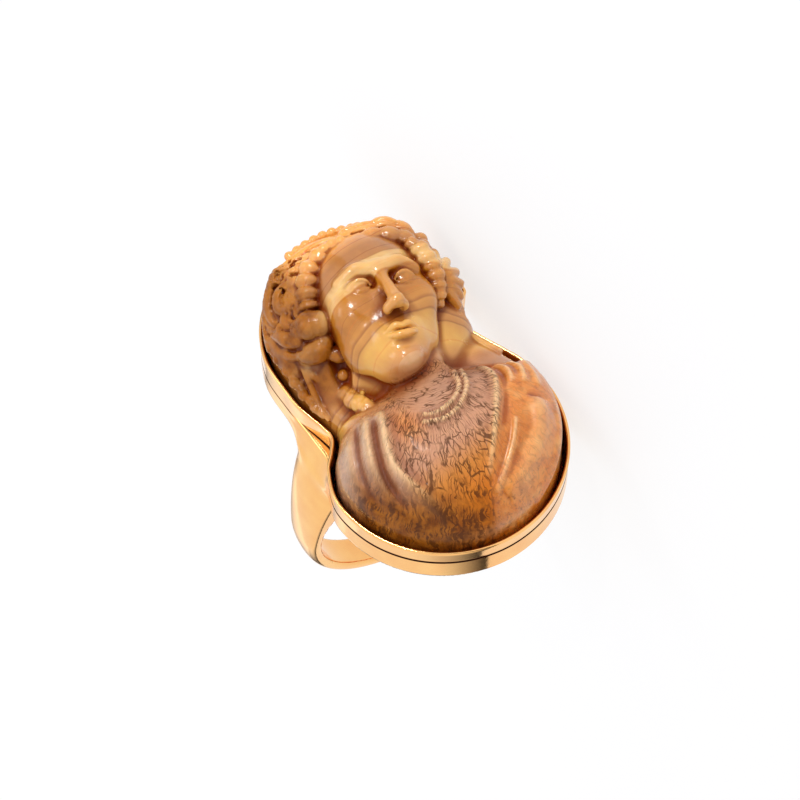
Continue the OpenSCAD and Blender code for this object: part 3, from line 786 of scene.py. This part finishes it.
def closed_back(clay):
    x, y = np.meshgrid(clay.axes[0], clay.axes[1], indexing="ij")
    gap = outline_gap(x, y, 0)[:, :, None]
    rise = SLOPE * (np.sqrt(y ** 2 + 4) - y) / 2
    turn = (RIM_Z - TURN_DROP + rise)[:, :, None]
    depth = BACK_DROP - TURN_DROP
    z = clay.axes[2][None, None, :]
    p = np.maximum(LEAN + BACK_CURVE - gap, 0)
    q = np.maximum(turn - z, 0)
    back = np.maximum(round_gap([(p, BACK_CURVE), (q, depth)], 1e-3), z - FLOOR_Z)
    wall = np.maximum(np.maximum(SKIN_DEEP - gap, gap - WALL_T + 0.05),
                      np.maximum(z - WALL_TOP, turn - z))
    clay.dist = np.minimum(clay.dist, np.minimum(back, wall))
    return gap


def shank_sizes(a):
    """Width, edge radius and crown radius at angles from the bottom of the ring."""
    past = np.clip(a - SIDE_AT, 0, TOP_AT - SIDE_AT) / (TOP_AT - SIDE_AT)
    spare = SHOULDER_W - SIDE_W - (SIDE_W - BAND_W) * ((TOP_AT / SIDE_AT) ** WIDEN - 1)
    width = BAND_W + (SIDE_W - BAND_W) * (np.minimum(a, TOP_AT) / SIDE_AT) ** WIDEN + spare * past ** 2
    crown = FINGER_R + BAND_T + CROWN_RISE * np.maximum(a - SIDE_AT, 0) ** 2
    edge = crown - (BAND_T - EDGE_T) * (1 + past)
    return width, edge, crown


def shank(clay, gap):
    low = (-12, -SHOULDER_W / 2 - 2, -12)
    high = (12, SHOULDER_W / 2 + 2, WALL_TOP + 1)
    cut, (x, y, z) = clay.near(low, high, 0.5)
    radius = np.sqrt(x ** 2 + z ** 2)
    width, edge, crown = shank_sizes(np.degrees(np.arctan2(np.abs(x), -z)))
    half, dome = width / 2, crown - edge
    q = np.maximum(radius - edge, 0)
    body = np.where(q > 0, round_gap([(y, half), (q, dome)], 1e-3), np.abs(y) - half)
    body = -smooth_min(-body, radius - FINGER_R, BORE_ROUND)
    body = np.maximum(body, z - WALL_TOP)
    clay.dist[cut] = smooth_min(clay.dist[cut], body, SOLDER)
    clay.dist[cut] = -smooth_min(-clay.dist[cut], radius - FINGER_R, BORE_SOFT)
    # Nothing reaches into the cup, where the stone sits, or over the seam.
    inside = np.minimum(clay.axes[2][None, None, :] - FLOOR_Z, gap - WALL_T)
    clay.dist = np.maximum(clay.dist, inside)
    clay.dist = np.maximum(clay.dist, clay.axes[2][None, None, :] - WALL_TOP).astype(np.float32)


def back_and_shank():
    clay = Clay((-10, -15, -10.2), (10, 15, WALL_TOP + 0.5), METAL_STEP)
    gap = closed_back(clay)
    shank(clay, gap)
    return skin(clay, "back_and_shank")


def seam_height(y):
    return RIM_Z - SEAM_DROP - SLOPE * y


SEAM_HALF = 0.15        # half the height of the seam's rounded edges
# Across the seam: how deep, and how high over its middle
SEAM_ROWS = ((0, -SEAM_HALF), (0, -0.13), (SEAM_T, -0.06), (SEAM_T, 0.06), (0, 0.13), (0, SEAM_HALF))
RIM_TURNS = (22, 45, 68, 90, 112, 135, 158, 180)


def bezel():
    """The wall of the setting, with the rim at its top and the seam line cut round it."""
    top = RIM_Z - RIM_ROUND
    rows = [inset(LEAN, FLOOR_Z - 0.1)]
    rows += [inset(LEAN + by, RIM_Z - SEAM_DROP + z, SLOPE) for by, z in SEAM_ROWS]
    for t in np.linspace(0.15, 1, 7):
        row = inset(LEAN * (1 - t), top)
        seam = seam_height(row[:, 1])
        row[:, 2] = seam + SEAM_HALF + (top - SEAM_HALF - seam) * t
        rows.append(row)
    for a in np.radians(RIM_TURNS):
        rows.append(inset(RIM_ROUND * (1 - math.cos(a)), top + RIM_ROUND * math.sin(a)))
    rows += [inset(RIM_T, RIM_Z - 0.5), inset(WALL_T, RIM_Z - 1.6), inset(WALL_T, FLOOR_Z - 0.1)]
    points = np.concatenate(rows)
    n, m = len(RIM), len(rows)
    faces = [(r * n + i, r * n + (i + 1) % n, (r + 1) % m * n + (i + 1) % n, (r + 1) % m * n + i)
             for r in range(m) for i in range(n)]
    obj = add_mesh("bezel", place(points), faces)
    # Painted shade in the seam groove: its rows are marked to be painted near black
    dark = np.zeros((m, n), np.float32)
    dark[2:6] = 1
    store(obj.data, "dark", "FLOAT", dark)
    obj.data.set_sharp_from_angle(angle=math.radians(40))
    return obj


class Nodes:
    """Short way to write a node tree."""
    def __init__(self, name):
        self.material = bpy.data.materials.new(name)
        self.material.use_nodes = True
        self.tree = self.material.node_tree
        self.shader = self.tree.nodes["Principled BSDF"]

    def feed(self, node, inputs):
        """Links or sets inputs of a node."""
        for key, value in dict(inputs).items():
            if isinstance(value, bpy.types.NodeSocket):
                self.tree.links.new(value, node.inputs[key])
            else:
                node.inputs[key].default_value = value

    def add(self, kind, inputs=(), **settings):
        node = self.tree.nodes.new(kind)
        for key, value in settings.items():
            setattr(node, key, value)
        self.feed(node, inputs)
        return node

    def stored(self, name, output="Fac"):
        """Values stored on the points."""
        return self.add("ShaderNodeAttribute", attribute_name=name).outputs[output]

    def noise(self, where, scale, detail, output=0):
        inputs = {"Vector": where, "Scale": scale, "Detail": detail}
        return self.add("ShaderNodeTexNoise", inputs).outputs[output]

    def math(self, operation, *values, clamp=False):
        node = self.add("ShaderNodeMath", enumerate(values), operation=operation, use_clamp=clamp)
        return node.outputs[0]

    def ramp(self, value, stops):
        node = self.add("ShaderNodeValToRGB", {0: value})
        band = node.color_ramp
        while len(band.elements) < len(stops):
            band.elements.new(0.5)
        for element, (at, colour) in zip(band.elements, stops):
            element.position = at
            element.color = (*colour, 1)
        return node.outputs[0]

    def mix(self, amount, a, b, blend="MIX"):
        a, b = (c if isinstance(c, bpy.types.NodeSocket) else (*c, 1) for c in (a, b))
        inputs = {0: amount, 6: a, 7: b}
        return self.add("ShaderNodeMix", inputs, data_type="RGBA", blend_type=blend).outputs[2]


def tint(text):
    """Colour from its usual six-figure form, as light."""
    parts = [int(text[i:i + 2], 16) / 255 for i in (0, 2, 4)]
    return tuple(c / 12.92 if c < 0.04045 else ((c + 0.055) / 1.055) ** 2.4 for c in parts)


def grey(value):
    return (value,) * 3


def gold_material():
    n = Nodes("rose_gold")
    where = n.add("ShaderNodeTexCoord").outputs["Object"]
    cloud = n.noise(where, 400.0, 3.0)
    fine = n.noise(where, 2600.0, 4.0)
    seam_shade = n.stored("dark")
    colour = n.ramp(cloud, [(0.3, tint("F8B872")), (0.7, tint("FFCA80"))])
    # Painted shade darkens the seam groove
    colour = n.mix(seam_shade, colour, tint("3A160A"))
    rough = n.ramp(cloud, [(0.3, grey(0.09)), (0.7, grey(0.17))])
    rough = n.math("MULTIPLY_ADD", seam_shade, 0.5, rough)
    bump = n.add("ShaderNodeBump", {"Strength": 0.03, "Distance": 0.0001, "Height": fine})
    n.feed(n.shader, {"Base Color": colour, "Roughness": rough, "Normal": bump.outputs[0],
                      "Metallic": 1.0})
    return n.material


LEVELS = (-12.0, 16.0)
# Colours of the layers: level, colour
STRATA = [
    (-12, "EEAE54"), (-9.8, "ECAE5A"), (-8.9, "CC8C40"), (-7.9, "AC7238"), (-6.6, "B0783E"),
    (-6.52, "A87434"), (-6.45, "D4AC6C"), (-5.8, "DEBC7C"), (-4.95, "D4A662"), (-4.9, "BA7A20"),
    (-3.8, "B07018"), (-3.0, "B67624"), (-2.3, "C28638"), (-2.05, "A06428"), (-1.95, "C68E42"),
    (-1.5, "BE843C"), (-1.42, "8C521C"), (-1.32, "CA9648"), (-0.9, "D4A44E"), (0.0, "DCAC54"),
    (0.8, "D09A52"), (1.5, "BE8450"), (3.0, "B2866A"), (4.5, "BA9078"), (8.5, "C29478"),
    (10.5, "C4823E"), (12.5, "CC7620"), (14.5, "B05C10"),
]


def stone_material():
    n = Nodes("carved_stone")
    where = n.stored("upright", "Vector")
    level = n.stored("level")
    hollow = n.stored("hollow")
    zones = n.add("ShaderNodeSeparateColor", {0: n.stored("zones", "Color")})
    amber, crackled, throat = zones.outputs
    shade = n.stored("zones", "Alpha")
    flow = n.stored("flow", "Vector")

    # Layers, with fine bands in them
    warp = n.math("SUBTRACT", n.noise(where, 0.3, 2.0), 0.5)
    bent = n.math("MULTIPLY_ADD", warp, 0.5, level)
    span = LEVELS[1] - LEVELS[0]
    part = n.math("DIVIDE", n.math("SUBTRACT", bent, LEVELS[0]), span)
    colour = n.ramp(part, [((at - LEVELS[0]) / span, tint(text)) for at, text in STRATA])
    bands = n.add("ShaderNodeTexNoise", {"W": bent, "Scale": 3.2, "Detail": 4.0, "Roughness": 0.7},
                  noise_dimensions="1D").outputs[0]
    bands = n.ramp(bands, [(0.3, tint("8E5C30")), (0.42, grey(0.5)), (0.6, grey(0.5)),
                           (0.75, tint("D8B890"))])
    upper = n.ramp(part, [(0.44, grey(0.5)), (0.5, grey(0.08))])
    colour = n.mix(upper, colour, bands, "OVERLAY")
    # Clouds, and the amber parts
    cloud = n.noise(where, 0.9, 5.0)
    colour = n.mix(n.math("MULTIPLY", amber, 0.85), colour,
                   n.ramp(cloud, [(0.3, tint("CA721A")), (0.55, tint("DA882C")), (0.75, tint("DE9C58"))]))
    colour = n.mix(0.25, colour, n.ramp(cloud, [(0.32, tint("946A34")), (0.68, tint("C8AC80"))]), "OVERLAY")
    # Painted shade and highlight: hollows are painted dark amber as shade, and swellings are painted pale as
    # highlight
    hollow_shade = n.ramp(hollow, [(0.01, grey(0)), (0.09, grey(0.7)), (0.22, grey(1))])
    high = n.ramp(n.math("MULTIPLY", hollow, -1.0), [(0.07, grey(0)), (0.28, grey(0.45))])
    on_chest = n.math("GREATER_THAN", level, CHEST_LEVEL)
    # Painted highlight on the swellings, amber on the chest and cream on the head
    colour = n.mix(high, colour, n.mix(on_chest, tint("DC9E50"), tint("ECC490")))
    # The real cream of the veil's corner, and the painted highlight on the dress's ridges and the necklace
    cream_and_highlight = n.stored("cream_and_highlight")
    colour = n.mix(n.math("MULTIPLY", cream_and_highlight, 0.8, clamp=True), colour, tint("F0D09A"))
    # Painted shade on the lower left of the bust and the left of the hair
    colour = n.mix(shade, colour, n.ramp(cloud, [(0.35, tint("743C0C")), (0.6, tint("9A5A18"))]))
    # Painted shade in the hollows, weaker where the chest is crackled
    hollow_shade = n.math("MULTIPLY", hollow_shade, n.math("MULTIPLY_ADD", crackled, -0.5, 1.0))
    colour = n.mix(hollow_shade, colour, n.mix(0.95, colour, tint("98500F"), "MULTIPLY"))
    # Fine dark lines: a net on the chest, arcs round the neck
    shake = n.add("ShaderNodeVectorMath", {0: n.noise(where, 1.1, 3.0, 1), 1: (0.5, 0.5, 0.5)},
                  operation="SUBTRACT").outputs[0]
    shaken = n.add("ShaderNodeVectorMath", {0: shake, 1: (0.5, 0.5, 0.5), 2: flow},
                   operation="MULTIPLY_ADD").outputs[0]

    def lines(stretch, width, gaps, low=0.1):
        """Edges of cells along the flow, with gaps."""
        cells = n.add("ShaderNodeVectorMath", {0: shaken, 1: stretch}, operation="MULTIPLY").outputs[0]
        edge = n.add("ShaderNodeTexVoronoi", {"Vector": cells, "Scale": 1.0},
                     feature="DISTANCE_TO_EDGE").outputs[0]
        mark = n.ramp(edge, [(width / 2, grey(1)), (width, grey(0))])
        where_shown = n.ramp(n.noise(where, gaps, 2.0), [(0.4, grey(low)), (0.56, grey(1))])
        return n.math("MULTIPLY", mark, where_shown)

    net = n.math("MAXIMUM", lines((3.2, 0.9, 0.6), 0.07, 0.8, 0.2), lines((5.0, 0.5, 0.4), 0.09, 1.1))
    arcs = lines((0.5, 4.4, 0.5), 0.1, 1.1)
    strokes = n.math("MULTIPLY", lines((7.0, 0.5, 0.5), 0.15, 1.4), on_chest)
    marks = n.math("MAXIMUM", n.math("MULTIPLY", net, crackled), n.math("MULTIPLY", arcs, throat))
    marks = n.math("MAXIMUM", marks, n.math("MULTIPLY", strokes, shade))
    colour = n.mix(n.math("MULTIPLY", marks, 0.8), colour, tint("46220E"))
    # Dark specks towards the foot of the bust
    specks = n.ramp(n.noise(where, 3.2, 4.0), [(0.56, grey(0)), (0.66, grey(1))])
    low = n.ramp(part, [(0.8, grey(0)), (0.95, grey(0.6))])
    colour = n.mix(n.math("MULTIPLY", specks, low), colour, tint("50260E"))
    rough = n.ramp(cloud, [(0.3, grey(0.15)), (0.7, grey(0.28))])
    grain = n.math("MULTIPLY_ADD", marks, -0.6, n.noise(where, 5.0, 3.0))
    bump = n.add("ShaderNodeBump", {"Strength": 0.15, "Distance": 0.0001, "Height": grain})
    # The shaded parts, the crackled ones and the hollows are duller.
    dull = n.math("MAXIMUM", n.math("MAXIMUM", shade, hollow_shade), n.math("MAXIMUM", crackled, throat))
    n.feed(n.shader, {
        "Base Color": colour,
        "Roughness": n.math("MULTIPLY_ADD", crackled, 0.2, rough),
        "Normal": bump.outputs[0],
        "Specular IOR Level": n.math("MULTIPLY_ADD", dull, -0.4, 0.5),
        "Coat Weight": n.math("MULTIPLY_ADD", dull, -0.4, 0.45),
        "Coat Roughness": 0.05,
        "Subsurface Weight": n.math("MULTIPLY_ADD", marks, -0.14, 0.15),
        "Subsurface Radius": (0.001, 0.0004, 0.00015),
        "Subsurface Scale": 1.0,
    })
    return n.material


stone = carve()
add_values(stone)
bust = shown("carved_bust", stone)
bust.data.materials.append(stone_material())
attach(bust, "root")
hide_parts("cameo")

rose_gold = gold_material()
for metal in (shown("back_and_shank", back_and_shank()), bezel()):
    metal.data.materials.append(rose_gold)
    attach(metal, "root")
    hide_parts("setting")

# Camera: the photograph looks down at the face from the bust's left. With the
# ring upright, RIGHT and UP are the picture's axes and TOWARD points at the camera.
VIEW_TILT = math.radians(60)
VIEW_TURN = math.radians(30.5)
RIGHT = Vector((math.cos(VIEW_TURN), -math.sin(VIEW_TURN), 0))
UP = Vector((math.sin(VIEW_TURN) * math.sin(VIEW_TILT), math.cos(VIEW_TURN) * math.sin(VIEW_TILT),
             math.cos(VIEW_TILT)))
TOWARD = RIGHT.cross(UP)
MIDDLE = (-0.524, 6.03, 11.5)       # what the picture is centred on, along those axes
DISTANCE = 450.0
PICTURE_W = 59.925                  # width of the picture at that point

spot = MIDDLE[0] * RIGHT + MIDDLE[1] * UP + (MIDDLE[2] + DISTANCE) * TOWARD
lens = bpy.data.cameras.new("camera")
camera = shown("camera", lens)
camera.matrix_world = (Matrix.Translation(UPRIGHT @ spot * MM)
                       @ (UPRIGHT @ Matrix((RIGHT, UP, TOWARD)).transposed()).to_4x4())
lens.sensor_width = 36.0
lens.lens = lens.sensor_width * DISTANCE / PICTURE_W
lens.clip_start = 0.01
lens.clip_end = 10.0
bpy.context.scene.camera = camera

# Floor and light
floor_z = cad_box[0][2]
FLOOR_HALF = 2          # metres
floor = add_mesh("floor", [(x * FLOOR_HALF, y * FLOOR_HALF, floor_z)
                           for x, y in ((-1, -1), (1, -1), (1, 1), (-1, 1))], [(0, 1, 2, 3)])
paper = Nodes("white_paper")
paper.feed(paper.shader, {"Base Color": (0.2, 0.2, 0.21, 1), "Roughness": 0.7,
                          "Emission Color": (1, 1, 1, 1), "Emission Strength": 0.74})
floor.data.materials.append(paper.material)


def softbox(name, where, size, power):
    """An area light at a place in the picture's axes (right, up, toward), in mm, facing the ring."""
    light = bpy.data.lights.new(name, "AREA")
    light.shape = "RECTANGLE"
    light.size, light.size_y = size[0] * MM, size[1] * MM
    light.energy = power
    obj = shown(name, light)
    spot = UPRIGHT @ (where[0] * RIGHT + where[1] * UP + where[2] * TOWARD) * MM
    obj.location = spot
    obj.rotation_euler = spot.to_track_quat("Z", "Y").to_euler()


softbox("key", (-80, 240, 300), (90, 50), 0.62)
softbox("glint", (-100, 60, 380), (24, 24), 0.14)
softbox("left", (-330, 60, 160), (90, 200), 0.12)
softbox("card", (-164, -76, -356), (150, 150), 0.032)

# The room is bright overhead and darker towards the horizon: height, brightness.
ROOM = ((0.02, 0.04), (0.36, 1.0))
world = bpy.data.worlds.new("studio")
world.use_nodes = True
tree = world.node_tree
height = tree.nodes.new("ShaderNodeSeparateXYZ")
tree.links.new(tree.nodes.new("ShaderNodeTexCoord").outputs["Generated"], height.inputs[0])
sky = tree.nodes.new("ShaderNodeValToRGB")
tree.links.new(height.outputs[2], sky.inputs[0])
for element, (at, level) in zip(sky.color_ramp.elements, ROOM):
    element.position = at
    element.color = (level, level, level, 1)
tree.links.new(sky.outputs[0], tree.nodes["Background"].inputs[0])
tree.nodes["Background"].inputs[1].default_value = 1.0
bpy.context.scene.world = world
bpy.context.scene.view_settings.view_transform = "Standard"
